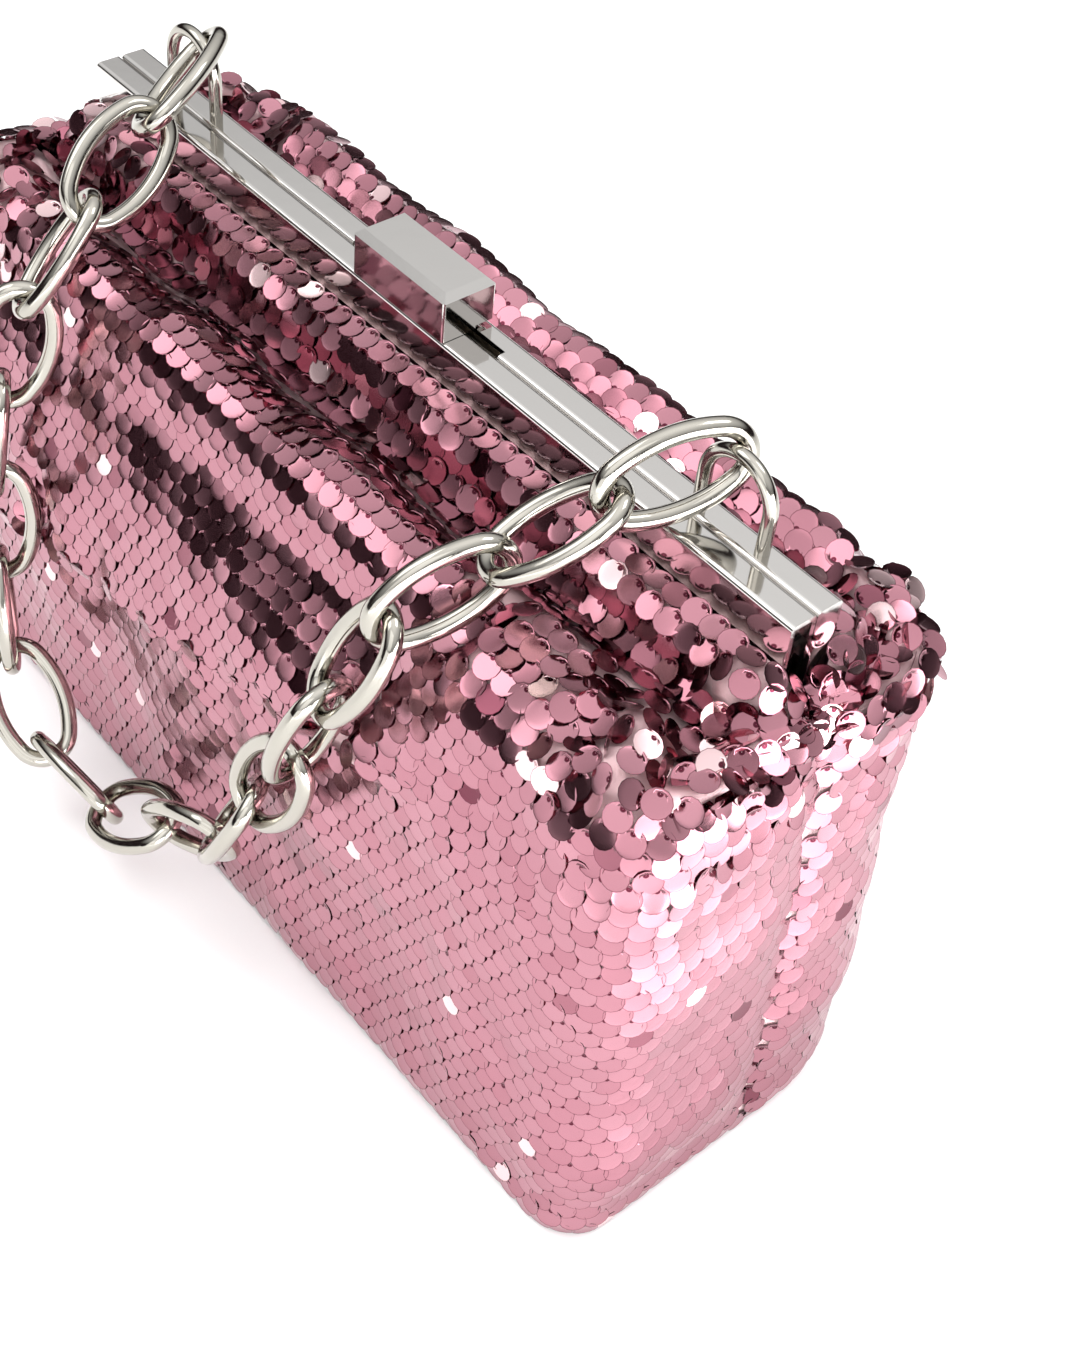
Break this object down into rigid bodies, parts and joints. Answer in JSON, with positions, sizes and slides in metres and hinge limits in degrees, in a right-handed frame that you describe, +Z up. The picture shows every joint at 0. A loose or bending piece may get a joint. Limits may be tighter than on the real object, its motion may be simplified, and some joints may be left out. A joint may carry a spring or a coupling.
{
  "type": "evening bag",
  "caption": "Boxed framed evening bag in sequinned cloth, with a hinged twin-bar metal frame, a box clasp on top, wire loops and a chain strap.",
  "frame": {"origin": "on the underside of the base, at its centre along the frame, directly under the seam between the two bars", "axes": "+X runs along the frame's bars, -Y is the front that the chain hangs over, +Z is up"},
  "size_m": [0.216, 0.1075, 0.1458],
  "materials": {
    "frame_metal": "polished nickel plate, mirror bright",
    "chain_metal": "polished nickel plate, slightly warm",
    "spring_steel": "plain spring steel",
    "sequin_cloth": "pink net covered with overlapping metallic sequins",
    "lining_cloth": "plain woven satin lining",
    "stiffener": "plain board",
    "paper_cord": "twisted paper"
  },
  "bodies": {
    "bag": {"base_board": "stiffener", "base_panel": "sequin_cloth", "chain_loop_left": "chain_metal", "chain_loop_right": "chain_metal", "clasp_hinge_lug": "frame_metal", "clasp_hinge_pin": "frame_metal", "front_lining": "lining_cloth", "front_panel": "sequin_cloth", "hinge_rivet_left": "frame_metal", "hinge_rivet_right": "frame_metal", "rear_frame": "frame_metal", "rear_lining": "lining_cloth", "rear_panel": "sequin_cloth", "rear_retaining_cord": "paper_cord", "rear_top_fabric": "sequin_cloth", "slip_pocket": "lining_cloth"},
    "front_jaw": {"front_frame": "frame_metal", "front_retaining_cord": "paper_cord", "catch_tongue": "frame_metal", "front_top_fabric": "sequin_cloth"},
    "clasp": {"clasp_cap": "frame_metal", "catch_leaf": "spring_steel", "clasp_spring": "spring_steel"},
    "chain_strap": {"chain_link_01": "chain_metal", "chain_link_02": "chain_metal", "chain_link_03": "chain_metal", "chain_link_04": "chain_metal", "chain_link_05": "chain_metal", "chain_link_06": "chain_metal", "chain_link_07": "chain_metal", "chain_link_08": "chain_metal", "chain_link_09": "chain_metal", "chain_link_10": "chain_metal", "chain_link_11": "chain_metal", "chain_link_12": "chain_metal", "chain_link_13": "chain_metal", "chain_link_14": "chain_metal", "chain_link_15": "chain_metal", "chain_link_16": "chain_metal", "chain_link_17": "chain_metal", "chain_link_18": "chain_metal"}
  },
  "joints": [
    {"name": "frame_hinge", "type": "hinge", "parent": "bag", "child": "front_jaw", "pos_m": [0, 0, 0.1035], "axis": [1, 0, 0], "range_deg": [0, 60]},
    {"name": "clasp_hinge", "type": "hinge", "parent": "bag", "child": "clasp", "pos_m": [0, 0.003, 0.1286], "axis": [-1, 0, 0], "range_deg": [0, 20], "stiffness_Nm_per_rad": 0.01},
    {"name": "strap_swing", "type": "hinge", "parent": "bag", "child": "chain_strap", "pos_m": [0, 0.00275, 0.1393], "axis": [-1, 0, 0], "range_deg": [0, 90]}
  ]
}
